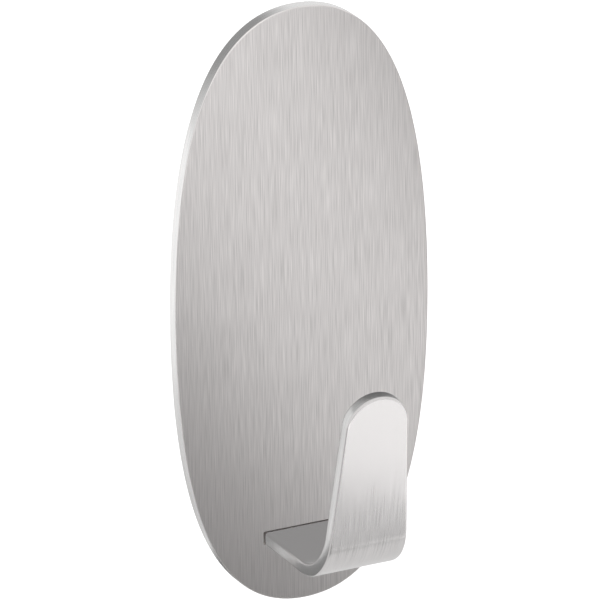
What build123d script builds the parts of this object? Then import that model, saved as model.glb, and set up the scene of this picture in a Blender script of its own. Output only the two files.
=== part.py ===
from build123d import *
from math import cos, radians, sin
import os

os.makedirs("parts", exist_ok=True)

# Stainless sheet: the plate and the hook are cut from the same gauge
SHEET = 1.5
PLATE_EDGE_RADIUS = 0.1
STRIP_EDGE_RADIUS = 0.25

# Oval plate. A fullness of 0.552 would be a plain ellipse, more gives rounder shoulders
PLATE_WIDTH = 31.0
PLATE_HEIGHT = 70.0
OUTLINE_FULLNESS = 0.668

# Foam pad between the plate and the wall
PAD_THICKNESS = 1.0
PAD_INSET = 2.0

# Hook strip: shelf, bend and leaning upright
STRIP_WIDTH = 10.0
SHELF_LENGTH = 8.8
BEND_RADIUS = 5.8
LEAN = 9.3
UPRIGHT_LENGTH = 17.6
TAPER = 3.8
TAPER_BLEND = 60.0

# Slot near the plate's lower end: the strip rests on its lower edge and is welded in from behind
SLOT_HEIGHT_FROM_END = 7.3
SLOT_SIDE_CLEARANCE = 0.15
SLOT_TOP_CLEARANCE = 0.1
SLOT_CORNER = 0.2
WELD_DEPTH = 0.6

# The wall is the plane y = 0 and the front faces -Y
plate_back = Plane.XZ.offset(PAD_THICKNESS)
front_y = -(PAD_THICKNESS + SHEET)
tail_y = -(PAD_THICKNESS + WELD_DEPTH)
pad_width = PLATE_WIDTH - 2 * PAD_INSET
pad_height = PLATE_HEIGHT - 2 * PAD_INSET
slot_width = STRIP_WIDTH + 2 * SLOT_SIDE_CLEARANCE
slot_height = SHEET + SLOT_TOP_CLEARANCE
slot_bottom = SLOT_HEIGHT_FROM_END - PLATE_HEIGHT / 2
shelf_top = slot_bottom + SHEET


def oval(plane, width, height):
    """Oval face made of four equal quarters, mirrored both ways."""
    with BuildSketch(plane) as outline:
        with BuildLine():
            Bezier(
                (0, height / 2),
                (OUTLINE_FULLNESS * width / 2, height / 2),
                (width / 2, OUTLINE_FULLNESS * height / 2),
                (width / 2, 0),
            )
            mirror(about=Plane.YZ)
            mirror(about=Plane.XZ)
        make_face()
    return outline.sketch


# Slot outline, shared by the plate and the weld that fills its rear
with BuildSketch(plate_back) as slot:
    with Locations((0, slot_bottom + slot_height / 2)):
        RectangleRounded(slot_width, slot_height, SLOT_CORNER)

with BuildPart() as back_plate:
    extrude(oval(plate_back, PLATE_WIDTH, PLATE_HEIGHT), amount=SHEET)
    fillet(back_plate.faces().sort_by(Axis.Y)[0].edges(), radius=PLATE_EDGE_RADIUS)
    extrude(slot.sketch, amount=SHEET, mode=Mode.SUBTRACT)
back_plate.part.label = "back_plate"
export_step(back_plate.part, "parts/back_plate.step")

# The upright's plane passes through the bend's centre, so its height 0 is the end of the bend
bend_y = front_y - SHELF_LENGTH
bend_centre = (0, bend_y, shelf_top + BEND_RADIUS)
upright_normal = (0, -cos(radians(LEAN)), -sin(radians(LEAN)))
upright = Plane(origin=bend_centre, x_dir=(1, 0, 0), z_dir=upright_normal)

# The blank narrows from the middle of the bend to a round tip that touches both tapered sides
outer_radius = BEND_RADIUS + SHEET
taper_start = -outer_radius * sin(radians(90 - LEAN) / 2)
taper_rise = UPRIGHT_LENGTH - taper_start
taper_sine = sin(radians(TAPER))
tip_radius = (STRIP_WIDTH / 2 * cos(radians(TAPER)) - taper_rise * taper_sine) / (1 - taper_sine)
tip_centre = UPRIGHT_LENGTH - tip_radius
blank_reach = outer_radius + SHELF_LENGTH + SHEET

with BuildPart() as hook:
    with BuildSketch(Plane.YZ):
        with BuildLine():
            shelf = Line((tail_y, shelf_top), (bend_y, shelf_top))
            bend = JernArc(shelf @ 1, shelf % 1, BEND_RADIUS, LEAN - 90)
            PolarLine(bend @ 1, UPRIGHT_LENGTH, direction=bend % 1)
            offset(amount=SHEET, side=Side.LEFT)
        make_face()
    extrude(amount=STRIP_WIDTH / 2, both=True)
    with BuildSketch(upright) as blank:
        with BuildLine():
            tip = CenterArc((0, tip_centre), tip_radius, TAPER, 90 - TAPER)
            Polyline(
                (0, -blank_reach),
                (STRIP_WIDTH / 2, -blank_reach),
                (STRIP_WIDTH / 2, taper_start),
                tip @ 0,
            )
            mirror(about=Plane.YZ)
        make_face()
        fillet(blank.vertices().group_by(Axis.Y)[1], radius=TAPER_BLEND)
    extrude(amount=blank_reach, both=True, mode=Mode.INTERSECT)
    across = hook.edges().filter_by(Axis.X) + hook.edges().filter_by(Axis(bend_centre, upright_normal))
    tail_end = hook.faces().sort_by(Axis.Y)[-1].edges()
    fillet(hook.edges() - across - tail_end, radius=STRIP_EDGE_RADIUS)
hook.part.label = "hook"
export_step(hook.part, "parts/hook.step")

with BuildPart() as plug_weld:
    extrude(slot.sketch, amount=WELD_DEPTH)
plug_weld.part.label = "plug_weld"
export_step(plug_weld.part, "parts/plug_weld.step")

with BuildPart() as adhesive_pad:
    extrude(oval(Plane.XZ, pad_width, pad_height), amount=PAD_THICKNESS)
adhesive_pad.part.label = "adhesive_pad"
export_step(adhesive_pad.part, "parts/adhesive_pad.step")
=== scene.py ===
"""Adhesive hook: an oval plate of brushed steel, a bent strip hook, the weld that holds it and a foam pad."""

import math

import bmesh
import bpy
from bpy.props import FloatProperty, FloatVectorProperty, PointerProperty
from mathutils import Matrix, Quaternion, Vector


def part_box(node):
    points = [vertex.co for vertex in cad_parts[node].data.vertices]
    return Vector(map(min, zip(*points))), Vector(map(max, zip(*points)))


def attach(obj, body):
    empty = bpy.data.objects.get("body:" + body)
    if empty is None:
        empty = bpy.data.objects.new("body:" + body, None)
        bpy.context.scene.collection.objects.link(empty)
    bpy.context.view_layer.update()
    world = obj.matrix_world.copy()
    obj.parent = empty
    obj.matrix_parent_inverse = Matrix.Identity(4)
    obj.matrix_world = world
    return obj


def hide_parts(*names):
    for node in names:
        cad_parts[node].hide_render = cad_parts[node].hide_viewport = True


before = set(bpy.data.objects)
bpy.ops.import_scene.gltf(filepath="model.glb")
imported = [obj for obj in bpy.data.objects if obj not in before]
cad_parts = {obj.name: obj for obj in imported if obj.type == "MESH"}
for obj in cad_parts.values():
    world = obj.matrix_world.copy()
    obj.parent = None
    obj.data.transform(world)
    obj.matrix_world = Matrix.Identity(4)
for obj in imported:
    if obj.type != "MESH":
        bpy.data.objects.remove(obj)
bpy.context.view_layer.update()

bl_info = {
    "name": "Adhesive Hook",
    "version": (1, 0, 0),
    "blender": (4, 5, 0),
    "location": "View3D > Sidebar > Adhesive Hook",
    "description": "Builds a brushed steel adhesive hook and a white studio for it",
    "category": "Object",
}

MM = 0.001

# Boxes of the solids, which every piece is fitted to
PLATE_LOW, PLATE_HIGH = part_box("back_plate")
HOOK_LOW, HOOK_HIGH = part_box("hook")
PAD_LOW, PAD_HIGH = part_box("adhesive_pad")
PLATE_SIZE = PLATE_HIGH - PLATE_LOW
PAD_SIZE = PAD_HIGH - PAD_LOW
STRIP_WIDTH = HOOK_HIGH.x - HOOK_LOW.x
SHEET = PLATE_SIZE.y
PLATE_FRONT = PLATE_LOW.y
SLOT_BOTTOM = HOOK_LOW.z

# Mesh fineness: points on a quarter of the oval, steps round an edge and along the strip
QUARTER_STEPS = 56
EDGE_STEPS = 5
SHELF_STEPS = 6
BEND_STEPS = 28
UPRIGHT_STEPS = 10
TIP_STEPS = 28

# Mesh joins: ring of flat faces beside a rounded edge, distance that closes a seam, angle that stays sharp
HOLDING_RING = 0.05 * MM
MERGE_DISTANCE = 0.001 * MM
SHARP_ANGLE = math.radians(40)

# Map in metres across and along the grain. It leans through the sheet, so that the slot's walls have a grain
GRAIN_MAP = "grain"
EDGE_GRAIN_LEAN = 0.35

# Attribute that marks the cut edge, and the value above which a face has the edge's finish
CUT_EDGE = "cut_edge"
CUT_EDGE_LIMIT = 0.75

# Unevenness of a cut: scale of its waves round the oval, and their detail
WAVER_SCALE = 9.0
WAVER_DETAIL = 3.0

# Values of a noise that count as its lowest and highest, and the one between them
NOISE_RANGE = (0.3, 0.7)
NOISE_MIDDLE = 0.5

# Hair, fine and broad streaks of the brushed steel: width, length and detail, and their shares of the tone
STREAK_SIZES = ((0.06 * MM, 3.5 * MM, 0.0), (0.1 * MM, 8.75 * MM, 1.0), (0.7 * MM, 20 * MM, 2.0))
STREAK_SHARES = (0.5, 0.42, 0.08)

# Brushed finishes: change of tone in the streaks, roughness and its change, stretch of the sheen, and tilt
PLATE_FINISH = {"contrast": 0.15, "roughness": 0.4, "spread": 0.05, "anisotropy": 0.5, "tilt": 0.005}
STRIP_FINISH = {"contrast": 0.17, "roughness": 0.26, "spread": 0.02, "anisotropy": 0.7, "tilt": 0.004}

# Places along the strip where its streaks begin, are full, begin to fade and have faded, and what is left
STREAKED_STRETCH = (12 * MM, 17 * MM, 18 * MM, 26 * MM)
FADED_STREAKS = 0.12

# Cut edges: colour, sizes of the lines along them, change of tone, roughness, and stretch of the sheen
EDGE_STEEL = (0.7, 0.695, 0.69)
EDGE_LINES = (0.12 * MM, 6 * MM, 2.0)
EDGE_CONTRAST = 0.06
EDGE_ROUGHNESS = (0.26, 0.2)
EDGE_ANISOTROPY = 0.3

# Weld: scale and detail of its mottle, scale and detail of its scratches, tints, roughness and relief
WELD_MOTTLE = (1400.0, 4.0)
WELD_SCRATCHES = (900.0, 900.0, 9000.0)
WELD_SCRATCH_DETAIL = 2.0
WELD_TINTS = ((0.75, 0.8, 0.95), (1.15, 1.1, 1.0))
WELD_ROUGHNESS = (0.55, 0.35)
WELD_RELIEF = {"Strength": 0.4, "Distance": 0.03 * MM}

# Foam: scale and detail of its mottle, scale of its cells, tones, reach of a cell, roughness and relief
FOAM_MOTTLE = (1500.0, 4.0)
FOAM_CELLS = 3500.0
FOAM_TONES = (0.95, 1.03)
FOAM_CELL_REACH = 0.6
FOAM_ROUGHNESS = (0.65, 0.9)
FOAM_RELIEF = {"Strength": 0.5, "Distance": 0.05 * MM}

# Dim part of the white room: its direction, half angles where it starts and is full, and the light left in it
DIM_TOWARDS = (-0.28, 0.83, 0.48)
DIM_START = math.radians(37)
DIM_FULL = math.radians(18)
DIM_LIGHT = 0.38

# Floor: length of its sides in metres, roughness, and the glow that keeps it white to the camera
FLOOR_SIZE = 6.0
FLOOR_ROUGHNESS = 0.9
FLOOR_GLOW = 0.4

# Objects that stop the light of the lamp panels
LAMP_BLOCKERS = ("floor", "oval_plate")

# Lamp panels, in mm: place, target, size, brightness, turn in degrees and the piece that they light
PANELS = (
    ("plate_panel", (16.2, -43.3, -1), (16.2, 0, -1), (40, 116), 0.74, 31, "oval_plate"),
    ("hook_panel", (28.1, -67.5, -29.8), (2.4, -25, 0.8), (110, 50), 0.62, 0, "strip_hook"),
    ("low_panel", (23.5, -57.3, -50), (-0.5, -18.3, -12), (110, 46.5), 0.56, 14, "strip_hook"),
)

# Cards, in mm: place, turn about X in degrees, size, width of the soft edge and brightness
CARDS = (
    ("front_card", (163, -303.5, -98), 0, (514, 513), 22, 0.13),
    ("back_card", (20, 150, -98), 0, (150, 100), 30, 0.35),
    ("left_card", (-100, -186, -96), 0, (180, 180), 45, 1.5),
    ("edge_card", (-195, -70, -98), 0, (110, 150), 30, 0.2),
    ("rear_card", (-770, 1500, -96), 0, (1460, 2740), 80, 1.25),
    ("side_flag", (-19, 3, -41.8), 90, (30, 23), 2, 0.26),
    ("side_glow", (-17.2, -2.75, -11.7), 90, (15.6, 35.4), 1.8, 0.93),
    ("shelf_glow", (-7.4, -2.72, -28.9), 90, (3.6, 4.2), 1.6, 0.66),
    ("shelf_card", (3, -2.7, -19), 90, (28, 22), 3, 0.39),
    ("tip_card", (9, -2.9, 9), 90, (48, 56), 16, 0.17),
    ("crest_card", (-5, -2.7, 14), 90, (41, 34), 12, 0.52),
)


class PlateSettings(bpy.types.PropertyGroup):
    """Sizes and finish of the oval plate."""

    width: FloatProperty(
        name="Width", description="Across the oval", default=PLATE_SIZE.x, unit="LENGTH", subtype="DISTANCE"
    )
    height: FloatProperty(
        name="Height", description="Along the oval", default=PLATE_SIZE.z, unit="LENGTH", subtype="DISTANCE"
    )
    fullness: FloatProperty(
        name="Fullness", description="0.552 is an ellipse, more gives rounder shoulders", default=0.668
    )
    edge_radius: FloatProperty(
        name="Edge radius", description="Rounding of the front edge", default=0.1 * MM, unit="LENGTH"
    )
    slot_play: FloatProperty(
        name="Slot play", description="Gap at each side of the strip", default=0.15 * MM, unit="LENGTH"
    )
    slot_headroom: FloatProperty(
        name="Slot headroom", description="Gap above the strip", default=0.1 * MM, unit="LENGTH"
    )
    slot_corner: FloatProperty(
        name="Slot corner", description="Radius of the slot's corners", default=0.2 * MM, unit="LENGTH"
    )
    colour: FloatVectorProperty(
        name="Steel", description="Colour of the brushed face", default=(0.692, 0.667, 0.66), subtype="COLOR"
    )
    edge_colour: FloatVectorProperty(
        name="Cut edge", description="Colour of the smooth cut edge", default=EDGE_STEEL, subtype="COLOR"
    )


class HookSettings(bpy.types.PropertyGroup):
    """Sizes and finish of the bent strip."""

    shelf_length: FloatProperty(
        name="Shelf", description="From the plate to the bend", default=8.8 * MM, unit="LENGTH"
    )
    bend_radius: FloatProperty(
        name="Bend radius", description="Inside the bend", default=5.8 * MM, unit="LENGTH"
    )
    lean: FloatProperty(
        name="Lean",
        description="Of the upright, away from the plate",
        default=math.radians(9.3),
        subtype="ANGLE",
    )
    upright_length: FloatProperty(
        name="Upright", description="From the bend to the tip", default=17.6 * MM, unit="LENGTH"
    )
    taper: FloatProperty(
        name="Taper",
        description="Of each side, from the middle of the bend",
        default=math.radians(3.8),
        subtype="ANGLE",
    )
    taper_blend: FloatProperty(
        name="Taper blend", description="Radius where the taper begins", default=60 * MM, unit="LENGTH"
    )
    edge_radius: FloatProperty(
        name="Edge radius", description="Rounding of the strip's edges", default=0.25 * MM, unit="LENGTH"
    )
    colour: FloatVectorProperty(
        name="Steel",
        description="Colour of the brushed strip",
        default=(0.652, 0.636, 0.632),
        subtype="COLOR",
    )
    edge_colour: FloatVectorProperty(
        name="Cut edge", description="Colour of the smooth cut edge", default=EDGE_STEEL, subtype="COLOR"
    )


class WeldSettings(bpy.types.PropertyGroup):
    """Colour of the weld."""

    colour: FloatVectorProperty(
        name="Weld", description="Colour of the ground weld", default=(0.42, 0.41, 0.39), subtype="COLOR"
    )


class PadSettings(bpy.types.PropertyGroup):
    """Shape and colour of the foam pad."""

    edge_radius: FloatProperty(
        name="Edge radius", description="Softness of the cut edge", default=0.2 * MM, unit="LENGTH"
    )
    waver: FloatProperty(
        name="Waver", description="Unevenness of the cut edge", default=0.15 * MM, unit="LENGTH"
    )
    colour: FloatVectorProperty(
        name="Foam", description="Colour of the foam", default=(0.8, 0.79, 0.77), subtype="COLOR"
    )


class StudioSettings(bpy.types.PropertyGroup):
    """Camera and floor of the studio."""

    azimuth: FloatProperty(
        name="Azimuth",
        description="Of the camera round the plate",
        default=math.radians(-26.05),
        subtype="ANGLE",
    )
    elevation: FloatProperty(
        name="Elevation",
        description="Of the camera above the plate",
        default=math.radians(21.56),
        subtype="ANGLE",
    )
    roll: FloatProperty(
        name="Roll", description="Clockwise turn of the camera", default=math.radians(0.62), subtype="ANGLE"
    )
    distance: FloatProperty(
        name="Distance", description="From the camera to the plate", default=1.0, unit="LENGTH"
    )
    view_width: FloatProperty(
        name="View width", description="Width of the picture at the plate", default=66.17 * MM, unit="LENGTH"
    )
    aim_right: FloatProperty(
        name="Aim right",
        description="How far right of the plate's centre the camera aims",
        default=-0.297 * MM,
        unit="LENGTH",
    )
    aim_up: FloatProperty(
        name="Aim up",
        description="How far above the plate's centre the camera aims",
        default=0.619 * MM,
        unit="LENGTH",
    )
    floor_drop: FloatProperty(
        name="Floor drop", description="From the plate's centre to the floor", default=100 * MM, unit="LENGTH"
    )
    floor_colour: FloatVectorProperty(
        name="Floor", description="Colour of the floor", default=(0.9, 0.9, 0.9), subtype="COLOR"
    )


class AdhesiveHookSettings(bpy.types.PropertyGroup):
    """All settings of the hook and its studio."""

    plate: PointerProperty(type=PlateSettings, name="Plate", description="The oval plate")
    hook: PointerProperty(type=HookSettings, name="Hook", description="The bent strip")
    weld: PointerProperty(type=WeldSettings, name="Weld", description="The weld in the slot")
    pad: PointerProperty(type=PadSettings, name="Pad", description="The foam pad")
    studio: PointerProperty(type=StudioSettings, name="Studio", description="Camera and floor")


class Graph:
    """Adds nodes to a tree and feeds each input with a value or another node's socket."""

    def __init__(self, tree):
        self.tree = tree

    def add(self, kind, inputs=(), **settings):
        made = self.tree.nodes.new(kind)
        for name, value in settings.items():
            setattr(made, name, value)
        for key, value in dict(inputs).items():
            self.feed(made.inputs[key], value)
        return made

    def feed(self, socket, value):
        if isinstance(value, bpy.types.NodeSocket):
            self.tree.links.new(value, socket)
        else:
            socket.default_value = value

    def math(self, operation, *values):
        made = self.add("ShaderNodeMath", operation=operation)
        for socket, value in zip(made.inputs, values):
            self.feed(socket, value)
        return made.outputs[0]

    def clamp(self, value, lowest, highest):
        return self.math("MINIMUM", self.math("MAXIMUM", value, lowest), highest)

    def vector(self, x=0.0, y=0.0, z=0.0):
        return self.add("ShaderNodeCombineXYZ", {"X": x, "Y": y, "Z": z}).outputs[0]

    def split(self, vector):
        return self.add("ShaderNodeSeparateXYZ", {"Vector": vector}).outputs

    def map_range(self, value, low, high, to_low, to_high):
        made = self.add("ShaderNodeMapRange", {"Value": value, "From Min": low, "From Max": high})
        self.feed(made.inputs["To Min"], to_low)
        self.feed(made.inputs["To Max"], to_high)
        return made.outputs["Result"]

    def noise(self, vector, scale, detail, dimensions="3D"):
        inputs = {"Vector": vector, "Scale": scale, "Detail": detail}
        return self.add("ShaderNodeTexNoise", inputs, noise_dimensions=dimensions).outputs[0]


def geometry_tree(name, inputs):
    """A node group with the named inputs and a geometry output: its graph, input sockets and output node."""
    tree = bpy.data.node_groups.new(name, "GeometryNodeTree")
    for label, kind in inputs:
        tree.interface.new_socket(name=label, in_out="INPUT", socket_type=kind)
    tree.interface.new_socket(name="Geometry", in_out="OUTPUT", socket_type="NodeSocketGeometry")
    graph = Graph(tree)
    return graph, graph.add("NodeGroupInput").outputs, graph.add("NodeGroupOutput")


def stored(graph, geometry, name, value, data_type="FLOAT2", domain="CORNER"):
    """The geometry with a value kept under a name."""
    made = graph.add("GeometryNodeStoreNamedAttribute", data_type=data_type, domain=domain)
    graph.feed(made.inputs["Geometry"], geometry)
    graph.feed(made.inputs["Name"], name)
    graph.feed(made.inputs["Value"], value)
    return made.outputs[0]


def finish_tree(graph, ends, geometry, sizes):
    """Ends a tree in plain geometry with the materials of its faces and cut edges."""
    real = graph.add("GeometryNodeRealizeInstances", {"Geometry": geometry}).outputs[0]
    faced = graph.add("GeometryNodeSetMaterial", {"Geometry": real, "Material": sizes["Material"]}).outputs[0]
    on_edge = graph.add("GeometryNodeInputNamedAttribute", {"Name": CUT_EDGE}, data_type="FLOAT")
    edged = graph.add("GeometryNodeSetMaterial", {"Geometry": faced, "Material": sizes["Edge Material"]})
    graph.feed(edged.inputs["Selection"], graph.math("GREATER_THAN", on_edge.outputs[0], CUT_EDGE_LIMIT))
    graph.feed(ends.inputs[0], edged.outputs[0])


def oval_sheet_tree():
    """A sheet cut to an oval, standing up: rounded edges, an uneven cut if wanted, and a slot if wanted."""
    graph, sizes, ends = geometry_tree("oval_sheet", [
        ("Width", "NodeSocketFloat"),
        ("Height", "NodeSocketFloat"),
        ("Fullness", "NodeSocketFloat"),
        ("Thickness", "NodeSocketFloat"),
        ("Front Radius", "NodeSocketFloat"),
        ("Back Radius", "NodeSocketFloat"),
        ("Waver", "NodeSocketFloat"),
        ("Back", "NodeSocketFloat"),
        ("Slotted", "NodeSocketBool"),
        ("Slot Width", "NodeSocketFloat"),
        ("Slot Height", "NodeSocketFloat"),
        ("Slot Bottom", "NodeSocketFloat"),
        ("Slot Corner", "NodeSocketFloat"),
        ("Material", "NodeSocketMaterial"),
        ("Edge Material", "NodeSocketMaterial"),
    ])
    thickness = sizes["Thickness"]
    half_width = graph.math("MULTIPLY", sizes["Width"], 0.5)
    half_height = graph.math("MULTIPLY", sizes["Height"], 0.5)
    quarter = graph.add("GeometryNodeCurvePrimitiveBezierSegment", {
        "Resolution": 4 * QUARTER_STEPS,
        "Start": graph.vector(y=half_height),
        "Start Handle": graph.vector(graph.math("MULTIPLY", half_width, sizes["Fullness"]), half_height),
        "End Handle": graph.vector(half_width, graph.math("MULTIPLY", half_height, sizes["Fullness"])),
        "End": graph.vector(half_width),
    }).outputs[0]

    def ring(share, inset, height):
        """Point at a share of the way round the oval, set in from its edge."""
        turn = graph.math("MULTIPLY", share, math.tau)
        around = graph.vector(graph.math("SINE", turn), graph.math("COSINE", turn))
        uneven = graph.noise(around, WAVER_SCALE, WAVER_DETAIL)
        inset = graph.math("MULTIPLY_ADD", uneven, sizes["Waver"], inset)
        along = graph.math("PINGPONG", graph.math("MULTIPLY", share, 4.0), 1.0)
        sample = graph.add("GeometryNodeSampleCurve", {"Curves": quarter, "Factor": along}, mode="FACTOR")
        place = graph.split(sample.outputs["Position"])
        heading = graph.split(sample.outputs["Tangent"])
        x = graph.math("MULTIPLY_ADD", heading["Y"], inset, place["X"])
        y = graph.math("SUBTRACT", place["Y"], graph.math("MULTIPLY", heading["X"], inset))
        side = graph.split(around)
        return graph.vector(
            graph.math("MULTIPLY", x, graph.math("SIGN", side["X"])),
            graph.math("MULTIPLY", y, graph.math("SIGN", side["Y"])),
            height,
        )

    # Rim: rows from the back face's holding ring, round both edges, to the front face's
    rows = 2 * EDGE_STEPS + 4
    grid = graph.add("GeometryNodeMeshGrid", {"Vertices X": 4 * QUARTER_STEPS + 1, "Vertices Y": rows})
    spot = graph.split(grid.outputs["UV Map"])
    row = graph.math("ROUND", graph.math("MULTIPLY", spot["Y"], rows - 1.0))
    from_middle = graph.math("SUBTRACT", row, (rows - 1) / 2)
    in_front = graph.math("GREATER_THAN", from_middle, 0.0)
    steps_off = graph.math("SUBTRACT", graph.math("ABSOLUTE", from_middle), 0.5)
    turn = graph.clamp(graph.math("DIVIDE", steps_off, float(EDGE_STEPS)), 0.0, 1.0)
    turn = graph.math("MULTIPLY", turn, math.pi / 2)
    extra_radius = graph.math("SUBTRACT", sizes["Front Radius"], sizes["Back Radius"])
    radius = graph.math("MULTIPLY_ADD", in_front, extra_radius, sizes["Back Radius"])
    holding = graph.math("MULTIPLY", graph.math("GREATER_THAN", steps_off, EDGE_STEPS + 0.5), HOLDING_RING)
    drawn_in = graph.math("SUBTRACT", 1.0, graph.math("COSINE", turn))
    inset = graph.math("MULTIPLY_ADD", radius, drawn_in, holding)
    depth = graph.math("MULTIPLY", radius, graph.math("SUBTRACT", 1.0, graph.math("SINE", turn)))
    front_height = graph.math("SUBTRACT", thickness, graph.math("MULTIPLY", depth, 2.0))
    height = graph.math("MULTIPLY_ADD", in_front, front_height, depth)
    rim = graph.add("GeometryNodeSetPosition", {
        "Geometry": grid.outputs["Mesh"],
        "Position": ring(spot["X"], inset, height),
    }).outputs[0]
    quarter_length = graph.add("GeometryNodeCurveLength", {"Curve": quarter}).outputs[0]
    along_rim = graph.math("MULTIPLY", spot["X"], graph.math("MULTIPLY", quarter_length, 4.0))
    outward = graph.math("MULTIPLY_ADD", in_front, 2.0, -1.0)
    over_rim = graph.math("MULTIPLY_ADD", inset, outward, height)
    rim = stored(graph, rim, GRAIN_MAP, graph.vector(over_rim, along_rim))
    rim = stored(graph, rim, CUT_EDGE, graph.math("SUBTRACT", 1.0, steps_off), "FLOAT", "FACE")

    # Slot outline, or nothing
    slot = graph.add("GeometryNodeCurvePrimitiveQuadrilateral", {
        "Width": sizes["Slot Width"],
        "Height": sizes["Slot Height"],
    }).outputs[0]
    slot = graph.add("GeometryNodeFilletCurve", {"Curve": slot, "Radius": sizes["Slot Corner"]}, mode="POLY")
    slot.inputs["Count"].default_value = EDGE_STEPS
    slot_middle = graph.math("MULTIPLY_ADD", sizes["Slot Height"], 0.5, sizes["Slot Bottom"])
    slot = graph.add("GeometryNodeTransform", {
        "Geometry": slot.outputs[0],
        "Translation": graph.vector(y=slot_middle),
    }).outputs[0]
    slot = graph.add("GeometryNodeSwitch", {"Switch": sizes["Slotted"], "True": slot}, input_type="GEOMETRY")
    slot = slot.outputs[0]
    walls = graph.add("GeometryNodeCurveToMesh", {"Curve": slot}).outputs[0]
    walls = graph.add("GeometryNodeExtrudeMesh", {
        "Mesh": walls,
        "Offset": graph.vector(z=1.0),
        "Offset Scale": thickness,
    }, mode="EDGES").outputs[0]

    # Faces: the oval at each face's holding ring, with the slot as a hole
    def face(radius_name, height):
        points = 4 * QUARTER_STEPS
        circle = graph.add("GeometryNodeCurvePrimitiveCircle", {"Resolution": points}).outputs[0]
        share = graph.math("DIVIDE", graph.add("GeometryNodeInputIndex").outputs[0], float(points))
        edge = graph.math("ADD", sizes[radius_name], HOLDING_RING)
        outline = graph.add("GeometryNodeSetPosition", {
            "Geometry": circle,
            "Position": ring(share, edge, 0.0),
        }).outputs[0]
        outlines = graph.add("GeometryNodeJoinGeometry")
        for part in (outline, slot):
            graph.feed(outlines.inputs[0], part)
        filled = graph.add("GeometryNodeFillCurve", {"Curve": outlines.outputs[0]}, mode="NGONS").outputs[0]
        return graph.add("GeometryNodeTransform", {
            "Geometry": filled,
            "Translation": graph.vector(z=height),
        }).outputs[0]

    flats = graph.add("GeometryNodeJoinGeometry")
    for part in (walls, face("Front Radius", thickness), face("Back Radius", 0.0)):
        graph.feed(flats.inputs[0], part)
    at = graph.split(graph.add("GeometryNodeInputPosition").outputs[0])
    grain = graph.vector(
        graph.math("ADD", at["X"], at["Z"]), graph.math("MULTIPLY_ADD", at["Z"], EDGE_GRAIN_LEAN, at["Y"])
    )
    whole = graph.add("GeometryNodeJoinGeometry")
    for part in (rim, stored(graph, flats.outputs[0], GRAIN_MAP, grain)):
        graph.feed(whole.inputs[0], part)
    closed = graph.add("GeometryNodeMergeByDistance", {
        "Geometry": whole.outputs[0],
        "Distance": MERGE_DISTANCE,
    }).outputs[0]
    standing = graph.add("GeometryNodeTransform", {
        "Geometry": closed,
        "Translation": graph.vector(y=sizes["Back"]),
        "Rotation": (math.pi / 2, 0.0, 0.0),
    }).outputs[0]
    finish_tree(graph, ends, standing, sizes)
    return graph.tree


def bent_strip_tree():
    """Bends a flat blank, whose inner face is at height 0, round a radius in front of the plate."""
    graph, sizes, ends = geometry_tree("bent_strip", [
        ("Blank", "NodeSocketGeometry"),
        ("Shelf Length", "NodeSocketFloat"),
        ("Bend Radius", "NodeSocketFloat"),
        ("Swing", "NodeSocketFloat"),
        ("Plate Front", "NodeSocketFloat"),
        ("Shelf Top", "NodeSocketFloat"),
        ("Material", "NodeSocketMaterial"),
        ("Edge Material", "NodeSocketMaterial"),
    ])
    radius = sizes["Bend Radius"]
    at = graph.split(graph.add("GeometryNodeInputPosition").outputs[0])
    past_shelf = graph.math("SUBTRACT", at["Y"], sizes["Shelf Length"])
    turn = graph.clamp(graph.math("DIVIDE", past_shelf, radius), 0.0, sizes["Swing"])
    past_bend = graph.math("SUBTRACT", past_shelf, graph.math("MULTIPLY", radius, sizes["Swing"]))
    past_bend = graph.math("MAXIMUM", past_bend, 0.0)
    on_shelf = graph.math("MINIMUM", at["Y"], sizes["Shelf Length"])
    reach = graph.math("SUBTRACT", radius, at["Z"])
    sine = graph.math("SINE", turn)
    cosine = graph.math("COSINE", turn)
    out = graph.math("MULTIPLY_ADD", reach, sine, graph.math("MULTIPLY_ADD", past_bend, cosine, on_shelf))
    fall = graph.math("SUBTRACT", graph.math("MULTIPLY", reach, cosine), radius)
    rise = graph.math("SUBTRACT", graph.math("MULTIPLY", past_bend, sine), fall)
    bent = graph.add("GeometryNodeSetPosition", {
        "Geometry": sizes["Blank"],
        "Position": graph.vector(
            at["X"],
            graph.math("SUBTRACT", sizes["Plate Front"], out),
            graph.math("ADD", sizes["Shelf Top"], rise),
        ),
    }).outputs[0]
    finish_tree(graph, ends, bent, sizes)
    return graph.tree


def applied(name, tree, values, blank=None):
    """An object with the plain mesh that the tree makes from the values, seams closed and rounds smooth."""
    maker = bpy.data.objects.new(name + "_maker", blank or bpy.data.meshes.new(name + "_blank"))
    bpy.context.collection.objects.link(maker)
    modifier = maker.modifiers.new("maker", "NODES")
    modifier.node_group = tree
    for socket in tree.interface.items_tree:
        if socket.in_out == "INPUT" and socket.name in values:
            modifier[socket.identifier] = values[socket.name]
    depsgraph = bpy.context.evaluated_depsgraph_get()
    mesh = bpy.data.meshes.new_from_object(maker.evaluated_get(depsgraph), depsgraph=depsgraph)
    bpy.data.objects.remove(maker)
    mesh.name = name
    shell = bmesh.new()
    shell.from_mesh(mesh)
    bmesh.ops.remove_doubles(shell, verts=shell.verts, dist=MERGE_DISTANCE)
    bmesh.ops.recalc_face_normals(shell, faces=shell.faces)
    shell.to_mesh(mesh)
    shell.free()
    mesh.shade_smooth()
    mesh.set_sharp_from_angle(angle=SHARP_ANGLE)
    piece = bpy.data.objects.new(name, mesh)
    bpy.context.collection.objects.link(piece)
    return piece


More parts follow.
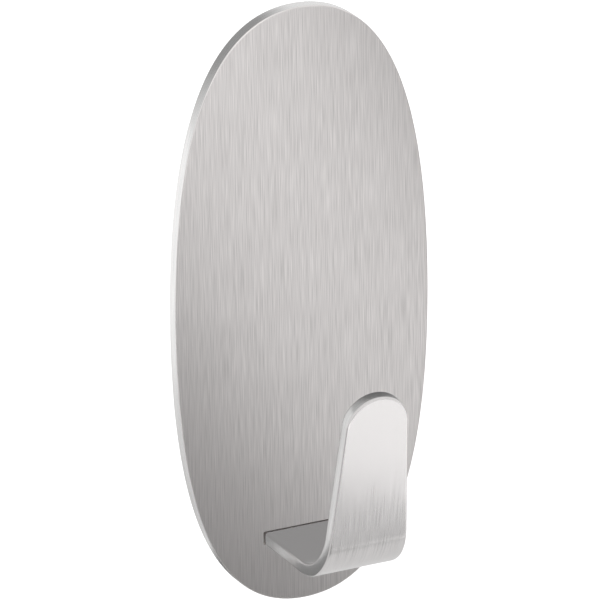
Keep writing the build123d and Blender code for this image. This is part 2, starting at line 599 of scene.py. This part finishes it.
def strip_blank(hook):
    """Flat blank of the strip: straight sides, a taper from the middle of the bend and a round tip."""
    swing = math.pi / 2 - hook.lean
    middle_radius = hook.bend_radius + SHEET / 2
    taper_start = -(hook.bend_radius + SHEET) * math.sin(swing / 2)
    rise = hook.upright_length - taper_start
    slope = math.sin(hook.taper)
    tip_radius = (STRIP_WIDTH / 2 * math.cos(hook.taper) - rise * slope) / (1 - slope)
    blend = hook.taper_blend * math.tan(hook.taper / 2)
    bend_start = hook.shelf_length
    bend_end = bend_start + hook.bend_radius * swing
    tip_centre = bend_end + hook.upright_length - tip_radius
    tail = PLATE_FRONT - HOOK_HIGH.y

    def half_width(along):
        """Half the strip's width at a distance along it, by its height above the end of the bend."""
        height = along - bend_end
        if height < 0:
            left = min(-height / hook.bend_radius, swing)
            height = -middle_radius * math.sin(left)
        past = height - taper_start
        if past <= -blend:
            return STRIP_WIDTH / 2
        if past < blend:
            return STRIP_WIDTH / 2 - (past + blend) ** 2 / (4 * blend) * math.tan(hook.taper)
        return STRIP_WIDTH / 2 - past * math.tan(hook.taper)

    # Side of the strip: inset from the edge and depth below the inner face, between the two holding rings
    turns = [math.pi / 2 * step / EDGE_STEPS for step in range(EDGE_STEPS + 1)]
    rounds = [(hook.edge_radius * (1 - math.sin(t)), hook.edge_radius * (1 - math.cos(t))) for t in turns]
    upper = [(hook.edge_radius + HOLDING_RING, 0.0)] + rounds
    side = upper + [(inset, SHEET - depth) for inset, depth in reversed(upper)]

    # Stations along the strip, each a function of the inset that gives half the width and the place along it
    def straight(along):
        return lambda inset: (half_width(along) - inset, along)

    def round_tip(angle):
        return lambda inset: (
            (tip_radius - inset) * math.cos(angle),
            tip_centre + (tip_radius - inset) * math.sin(angle),
        )

    tip_start = tip_centre + tip_radius * slope
    marks = [(tail, 0.0, 1), (0.0, bend_start, SHELF_STEPS), (bend_start, bend_end, BEND_STEPS)]
    marks.append((bend_end, tip_start, UPRIGHT_STEPS))
    stations = [straight(a + (b - a) * n / count) for a, b, count in marks for n in range(count)]
    sweep = math.pi / 2 - hook.taper
    stations += [round_tip(hook.taper + sweep * n / TIP_STEPS) for n in range(TIP_STEPS + 1)]

    # Map: across and along the grain on the faces, over and along the outline on the cut edge
    reach = [0.0]
    for near, far in zip(stations, stations[1:]):
        reach.append(reach[-1] + math.dist(near(0.0), far(0.0)))
    over = [depth - inset if depth < SHEET / 2 else depth + inset for inset, depth in side]
    over += reversed(over)

    blank = bmesh.new()
    grain = blank.loops.layers.uv.new(GRAIN_MAP)
    cut_edge = blank.faces.layers.float.new(CUT_EDGE)
    loops = []
    for station in stations:
        half = [(*station(inset), -depth) for inset, depth in side]
        loop = half + [(-x, y, z) for x, y, z in reversed(half)]
        loops.append([blank.verts.new(point) for point in loop])
    for m in range(len(loops) - 1):
        for n in range(len(over)):
            corners = ((m, n - 1), (m, n), (m + 1, n), (m + 1, n - 1))
            face = blank.faces.new([loops[a][b] for a, b in corners])
            on_edge = n % len(side) > 0
            face[cut_edge] = float(n % len(side) == len(upper))
            for corner, (a, b) in zip(face.loops, corners):
                corner[grain].uv = (over[b], reach[a]) if on_edge else corner.vert.co.xy
    tail_face = blank.faces.new(loops[0])
    for corner in tail_face.loops:
        corner[grain].uv = corner.vert.co.xz
    mesh = bpy.data.meshes.new("strip_blank")
    blank.to_mesh(mesh)
    blank.free()
    return mesh


def new_material(name):
    """A material with its graph and its Principled shader."""
    material = bpy.data.materials.new(name)
    material.use_nodes = True
    return material, Graph(material.node_tree), material.node_tree.nodes["Principled BSDF"]


def tinted(colour, tint):
    """The colour with each channel times its tint."""
    return (*[channel * share for channel, share in zip(colour, tint)], 1.0)


def toned(colour, tone):
    """The colour made darker or lighter."""
    return tinted(colour, (tone, tone, tone))


def two_tones(graph, noise, dark, light):
    """A colour that goes from dark to light with a noise."""
    shade = graph.add("ShaderNodeMix", data_type="RGBA")
    graph.feed(shade.inputs["Factor"], graph.map_range(noise, *NOISE_RANGE, 0.0, 1.0))
    # The mix node's colour sockets come after those for numbers and vectors
    graph.feed(shade.inputs[6], dark)
    graph.feed(shade.inputs[7], light)
    return shade.outputs[2]


def streaks(graph, width, length, detail):
    """Noise drawn out along the grain."""
    grain = graph.add("ShaderNodeUVMap", uv_map=GRAIN_MAP).outputs[0]
    scale = (1 / width, 1 / length, 1.0)
    drawn = graph.add("ShaderNodeMapping", {"Vector": grain, "Scale": scale}).outputs[0]
    return graph.noise(drawn, 1.0, detail, "2D")


def grained_metal(graph, shader, anisotropy):
    """Makes the shader bare metal, with its sheen stretched across the grain."""
    shader.inputs["Metallic"].default_value = 1.0
    shader.inputs["Anisotropic"].default_value = anisotropy
    across = graph.add("ShaderNodeTangent", direction_type="UV_MAP", uv_map=GRAIN_MAP).outputs[0]
    graph.feed(shader.inputs["Tangent"], across)


def brushed_steel(name, colour, contrast, roughness, spread, anisotropy, tilt, stretch=None):
    """Satin steel with streaks of tone, gloss and tilt along the grain, strong on one stretch if given."""
    material, graph, shader = new_material(name)
    hair, fine, broad = [streaks(graph, *sizes) for sizes in STREAK_SIZES]
    tone = 0.0
    for layer, share in zip((hair, fine, broad), STREAK_SHARES):
        tone = graph.math("MULTIPLY_ADD", layer, share, tone)
    if stretch:
        begin, full, fading, faded = stretch
        along = graph.split(graph.add("ShaderNodeUVMap", uv_map=GRAIN_MAP).outputs[0])["Y"]
        rising = graph.map_range(along, begin, full, FADED_STREAKS, 1.0)
        falling = graph.map_range(along, fading, faded, 1.0, FADED_STREAKS)
        kept = graph.math("MINIMUM", rising, falling)
        tone = graph.math("MULTIPLY_ADD", graph.math("SUBTRACT", tone, NOISE_MIDDLE), kept, NOISE_MIDDLE)
    shade = two_tones(graph, tone, toned(colour, 1 - contrast), toned(colour, 1 + contrast))
    graph.feed(shader.inputs["Base Color"], shade)
    gloss = graph.map_range(tone, *NOISE_RANGE, roughness + spread, roughness - spread)
    graph.feed(shader.inputs["Roughness"], gloss)
    # A normal map is flat where its colour is 0.5, 0.5, 1
    lean = graph.map_range(fine, 0.0, 1.0, 0.5 - tilt, 0.5 + tilt)
    relief = graph.add("ShaderNodeNormalMap", {"Color": graph.vector(0.5, lean, 1.0)}, uv_map=GRAIN_MAP)
    graph.feed(shader.inputs["Normal"], relief.outputs[0])
    grained_metal(graph, shader, anisotropy)
    return material


def cut_steel(name, colour):
    """Cut edge of the sheet, tumbled smooth, with faint lines along it."""
    material, graph, shader = new_material(name)
    lines = streaks(graph, *EDGE_LINES)
    shade = two_tones(graph, lines, toned(colour, 1 - EDGE_CONTRAST), toned(colour, 1 + EDGE_CONTRAST))
    graph.feed(shader.inputs["Base Color"], shade)
    graph.feed(shader.inputs["Roughness"], graph.map_range(lines, *NOISE_RANGE, *EDGE_ROUGHNESS))
    grained_metal(graph, shader, EDGE_ANISOTROPY)
    return material


def ground_weld(name, colour):
    """Weld metal ground flush: a mottled, partly blued tone under coarse scratches."""
    material, graph, shader = new_material(name)
    place = graph.add("ShaderNodeTexCoord").outputs["Object"]
    mottle = graph.noise(place, *WELD_MOTTLE)
    drawn = graph.add("ShaderNodeMapping", {"Vector": place, "Scale": WELD_SCRATCHES}).outputs[0]
    scratches = graph.noise(drawn, 1.0, WELD_SCRATCH_DETAIL)
    dark, light = [tinted(colour, tint) for tint in WELD_TINTS]
    graph.feed(shader.inputs["Base Color"], two_tones(graph, mottle, dark, light))
    graph.feed(shader.inputs["Roughness"], graph.map_range(scratches, *NOISE_RANGE, *WELD_ROUGHNESS))
    relief = graph.add("ShaderNodeBump", {"Height": scratches, **WELD_RELIEF}).outputs[0]
    graph.feed(shader.inputs["Normal"], relief)
    shader.inputs["Metallic"].default_value = 1.0
    return material


def foam(name, colour):
    """Matt closed-cell foam: small cells in relief and a mottled tone."""
    material, graph, shader = new_material(name)
    place = graph.add("ShaderNodeTexCoord").outputs["Object"]
    cells = graph.add("ShaderNodeTexVoronoi", {"Vector": place, "Scale": FOAM_CELLS}).outputs["Distance"]
    mottle = graph.noise(place, *FOAM_MOTTLE)
    dark, light = [toned(colour, tone) for tone in FOAM_TONES]
    graph.feed(shader.inputs["Base Color"], two_tones(graph, mottle, dark, light))
    graph.feed(shader.inputs["Roughness"], graph.map_range(cells, 0.0, FOAM_CELL_REACH, *FOAM_ROUGHNESS))
    relief = graph.add("ShaderNodeBump", {"Height": cells, **FOAM_RELIEF}).outputs[0]
    graph.feed(shader.inputs["Normal"], relief)
    return material


def white_room(scene):
    """White all round, but dim in the place that darkens the edges; the camera itself sees only white."""
    world = bpy.data.worlds.new("white_room")
    world.use_nodes = True
    graph = Graph(world.node_tree)
    ground = world.node_tree.nodes["Background"]
    facing = graph.add("ShaderNodeVectorMath", operation="DOT_PRODUCT")
    graph.feed(facing.inputs[0], graph.add("ShaderNodeTexCoord").outputs["Generated"])
    graph.feed(facing.inputs[1], Vector(DIM_TOWARDS).normalized())
    nearness = facing.outputs["Value"]
    light = graph.map_range(nearness, math.cos(DIM_START), math.cos(DIM_FULL), 1.0, DIM_LIGHT)
    seen = graph.add("ShaderNodeLightPath").outputs["Is Camera Ray"]
    graph.feed(ground.inputs["Strength"], graph.math("MAXIMUM", light, seen))
    ground.inputs["Color"].default_value = (1, 1, 1, 1)
    scene.world = world


def pale_floor(studio):
    """Pale floor with a glow that only the camera sees, which keeps it white."""
    bpy.ops.mesh.primitive_plane_add(size=FLOOR_SIZE, location=(0, 0, -studio.floor_drop))
    floor = bpy.context.object
    floor.name = "floor"
    material, graph, shader = new_material("pale_floor")
    shader.inputs["Base Color"].default_value = (*studio.floor_colour, 1)
    shader.inputs["Roughness"].default_value = FLOOR_ROUGHNESS
    shader.inputs["Emission Color"].default_value = (1, 1, 1, 1)
    seen = graph.add("ShaderNodeLightPath").outputs["Is Camera Ray"]
    graph.feed(shader.inputs["Emission Strength"], graph.math("MULTIPLY", seen, FLOOR_GLOW))
    floor.data.materials.append(material)


def soft_panel(name, place, target, size, brightness, turn, piece):
    """Lamp panel that faces a point and lights one piece only, past everything but the lamp blockers."""
    lamp = bpy.data.lights.new(name, "AREA")
    lamp.shape = "RECTANGLE"
    lamp.size, lamp.size_y = size
    lamp.energy = brightness * math.pi * size[0] * size[1]
    panel = bpy.data.objects.new(name, lamp)
    panel.location = place
    facing = (Vector(target) - panel.location).to_track_quat("-Z", "Y")
    panel.rotation_euler = (facing @ Quaternion((0, 0, 1), math.radians(turn))).to_euler()
    panel.visible_camera = False
    bpy.context.collection.objects.link(panel)
    lit = bpy.data.collections.new(name + "_lights")
    lit.objects.link(bpy.data.objects[piece])
    panel.light_linking.receiver_collection = lit
    stops = bpy.data.collections.new(name + "_stops_at")
    for blocker in LAMP_BLOCKERS:
        if blocker != piece:
            stops.objects.link(bpy.data.objects[blocker])
    panel.light_linking.blocker_collection = stops


def reflection_card(name, place, turn, size, soft, brightness):
    """Card with soft edges that shows only in reflections, and only its face."""
    card = bpy.data.objects.new(name, bpy.data.meshes.new(name))
    card.location = place
    card.rotation_euler = (math.radians(turn), 0, 0)
    half = [length / 2 for length in size]
    corners = [(-half[0], -half[1], 0), (half[0], -half[1], 0), (half[0], half[1], 0), (-half[0], half[1], 0)]
    card.data.from_pydata(corners, [], [(0, 1, 2, 3)])
    bpy.context.collection.objects.link(card)
    for rays in ("camera", "diffuse", "transmission", "shadow", "volume_scatter"):
        setattr(card, "visible_" + rays, False)
    material, graph, _ = new_material(name)
    at = graph.split(graph.add("ShaderNodeTexCoord").outputs["Object"])
    cover = graph.math("SUBTRACT", 1.0, graph.add("ShaderNodeNewGeometry").outputs["Backfacing"])
    for axis, reach in zip(("X", "Y"), half):
        side = graph.map_range(graph.math("ABSOLUTE", at[axis]), reach, reach - soft, 0.0, 1.0)
        cover = graph.math("MULTIPLY", cover, side)
    glow = graph.add("ShaderNodeEmission", {"Color": (brightness, brightness, brightness, 1)}).outputs[0]
    clear = graph.add("ShaderNodeBsdfTransparent").outputs[0]
    mixed = graph.add("ShaderNodeMixShader", {"Fac": cover})
    graph.feed(mixed.inputs[1], clear)
    graph.feed(mixed.inputs[2], glow)
    graph.feed(material.node_tree.nodes["Material Output"].inputs["Surface"], mixed.outputs[0])
    # Not sampled as a lamp: only a reflected ray that meets the card sees it, which avoids grain
    material.cycles.emission_sampling = "NONE"
    card.data.materials.append(material)


def metres(lengths):
    """Lengths in mm as metres."""
    return [length * MM for length in lengths]


def settings():
    """The scene's settings for the hook."""
    return bpy.context.scene.adhesive_hook


class ADHESIVEHOOK_OT_back_plate(bpy.types.Operator):
    """Make the oval plate with its slot"""

    bl_idname = "adhesive_hook.back_plate"
    bl_label = "Back plate"

    def execute(self, context):
        plate = settings().plate
        piece = applied("oval_plate", oval_sheet_tree(), {
            "Width": plate.width,
            "Height": plate.height,
            "Fullness": plate.fullness,
            "Thickness": SHEET,
            "Front Radius": plate.edge_radius,
            "Back Radius": 0.0,
            "Waver": 0.0,
            "Back": PLATE_HIGH.y,
            "Slotted": True,
            "Slot Width": STRIP_WIDTH + 2 * plate.slot_play,
            "Slot Height": SHEET + plate.slot_headroom,
            "Slot Bottom": SLOT_BOTTOM,
            "Slot Corner": plate.slot_corner,
            "Material": brushed_steel("brushed_plate", plate.colour, **PLATE_FINISH),
            "Edge Material": cut_steel("plate_edge", plate.edge_colour),
        })
        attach(piece, "root")
        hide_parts("back_plate")
        return {"FINISHED"}


class ADHESIVEHOOK_OT_strip_hook(bpy.types.Operator):
    """Make the blank of the strip and bend it into the hook"""

    bl_idname = "adhesive_hook.strip_hook"
    bl_label = "Strip hook"

    def execute(self, context):
        hook = settings().hook
        piece = applied("strip_hook", bent_strip_tree(), {
            "Shelf Length": hook.shelf_length,
            "Bend Radius": hook.bend_radius,
            "Swing": math.pi / 2 - hook.lean,
            "Plate Front": PLATE_FRONT,
            "Shelf Top": SLOT_BOTTOM + SHEET,
            "Material": brushed_steel("brushed_strip", hook.colour, **STRIP_FINISH, stretch=STREAKED_STRETCH),
            "Edge Material": cut_steel("strip_edge", hook.edge_colour),
        }, strip_blank(hook))
        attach(piece, "root")
        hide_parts("hook")
        # The plate shows no mirror image of the strip
        piece.visible_glossy = False
        return {"FINISHED"}


class ADHESIVEHOOK_OT_plug_weld(bpy.types.Operator):
    """Finish the weld in the rear of the slot"""

    bl_idname = "adhesive_hook.plug_weld"
    bl_label = "Plug weld"

    def execute(self, context):
        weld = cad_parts["plug_weld"]
        material = ground_weld("ground_weld", settings().weld.colour)
        for place in weld.material_slots:
            place.material = material
        return {"FINISHED"}


class ADHESIVEHOOK_OT_foam_pad(bpy.types.Operator):
    """Make the foam pad behind the plate"""

    bl_idname = "adhesive_hook.foam_pad"
    bl_label = "Foam pad"

    def execute(self, context):
        pad = settings().pad
        piece = applied("foam_pad", oval_sheet_tree(), {
            "Width": PAD_SIZE.x,
            "Height": PAD_SIZE.z,
            "Fullness": settings().plate.fullness,
            "Thickness": PAD_SIZE.y,
            "Front Radius": pad.edge_radius,
            "Back Radius": pad.edge_radius,
            "Waver": pad.waver,
            "Back": PAD_HIGH.y,
            "Slotted": False,
            "Material": foam("closed_cell_foam", pad.colour),
            "Edge Material": foam("cut_foam_edge", pad.colour),
        })
        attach(piece, "root")
        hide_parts("adhesive_pad")
        return {"FINISHED"}


class ADHESIVEHOOK_OT_studio(bpy.types.Operator):
    """Set the camera, the floor and the light"""

    bl_idname = "adhesive_hook.studio"
    bl_label = "Studio"

    def execute(self, context):
        studio = settings().studio
        scene = context.scene
        scene.view_settings.view_transform = "Standard"
        back = Vector((
            math.sin(studio.azimuth) * math.cos(studio.elevation),
            -math.cos(studio.azimuth) * math.cos(studio.elevation),
            math.sin(studio.elevation),
        ))
        facing = (-back).to_track_quat("-Z", "Y") @ Quaternion((0, 0, 1), -studio.roll)
        centre = Vector((0, PLATE_FRONT, 0))
        aim = centre + facing @ Vector((studio.aim_right, studio.aim_up, 0))
        lens = bpy.data.cameras.new("camera")
        lens.lens = lens.sensor_width * studio.distance / studio.view_width
        camera = bpy.data.objects.new("camera", lens)
        camera.rotation_mode = "QUATERNION"
        camera.rotation_quaternion = facing
        camera.location = aim + back * studio.distance
        context.collection.objects.link(camera)
        scene.camera = camera

        white_room(scene)
        pale_floor(studio)
        for name, place, target, size, brightness, turn, piece in PANELS:
            soft_panel(name, metres(place), metres(target), metres(size), brightness, turn, piece)
        for name, place, turn, size, soft, brightness in CARDS:
            reflection_card(name, metres(place), turn, metres(size), soft * MM, brightness)
        return {"FINISHED"}


class ADHESIVEHOOK_PT_sidebar(bpy.types.Panel):
    """Lists the operators, each with its settings"""

    bl_idname = "ADHESIVEHOOK_PT_sidebar"
    bl_label = "Adhesive Hook"
    bl_space_type = "VIEW_3D"
    bl_region_type = "UI"
    bl_category = "Adhesive Hook"

    def draw(self, context):
        for name, operator in OPERATORS.items():
            box = self.layout.box()
            box.operator(operator.bl_idname)
            group = getattr(settings(), name)
            for value in type(group).__annotations__:
                box.prop(group, value)


# Operators, each under the name of its settings
OPERATORS = {
    "plate": ADHESIVEHOOK_OT_back_plate,
    "hook": ADHESIVEHOOK_OT_strip_hook,
    "weld": ADHESIVEHOOK_OT_plug_weld,
    "pad": ADHESIVEHOOK_OT_foam_pad,
    "studio": ADHESIVEHOOK_OT_studio,
}
CLASSES = (
    PlateSettings,
    HookSettings,
    WeldSettings,
    PadSettings,
    StudioSettings,
    AdhesiveHookSettings,
    *OPERATORS.values(),
    ADHESIVEHOOK_PT_sidebar,
)


def register():
    """Adds the classes and the settings."""
    for kind in CLASSES:
        bpy.utils.register_class(kind)
    bpy.types.Scene.adhesive_hook = PointerProperty(type=AdhesiveHookSettings)


def unregister():
    """Takes the settings and the classes away."""
    del bpy.types.Scene.adhesive_hook
    for kind in reversed(CLASSES):
        bpy.utils.unregister_class(kind)


def main():
    """Makes the hook and its studio."""
    register()
    bpy.ops.adhesive_hook.back_plate()
    bpy.ops.adhesive_hook.strip_hook()
    bpy.ops.adhesive_hook.plug_weld()
    bpy.ops.adhesive_hook.foam_pad()
    bpy.ops.adhesive_hook.studio()


if __name__ == "__main__":
    main()
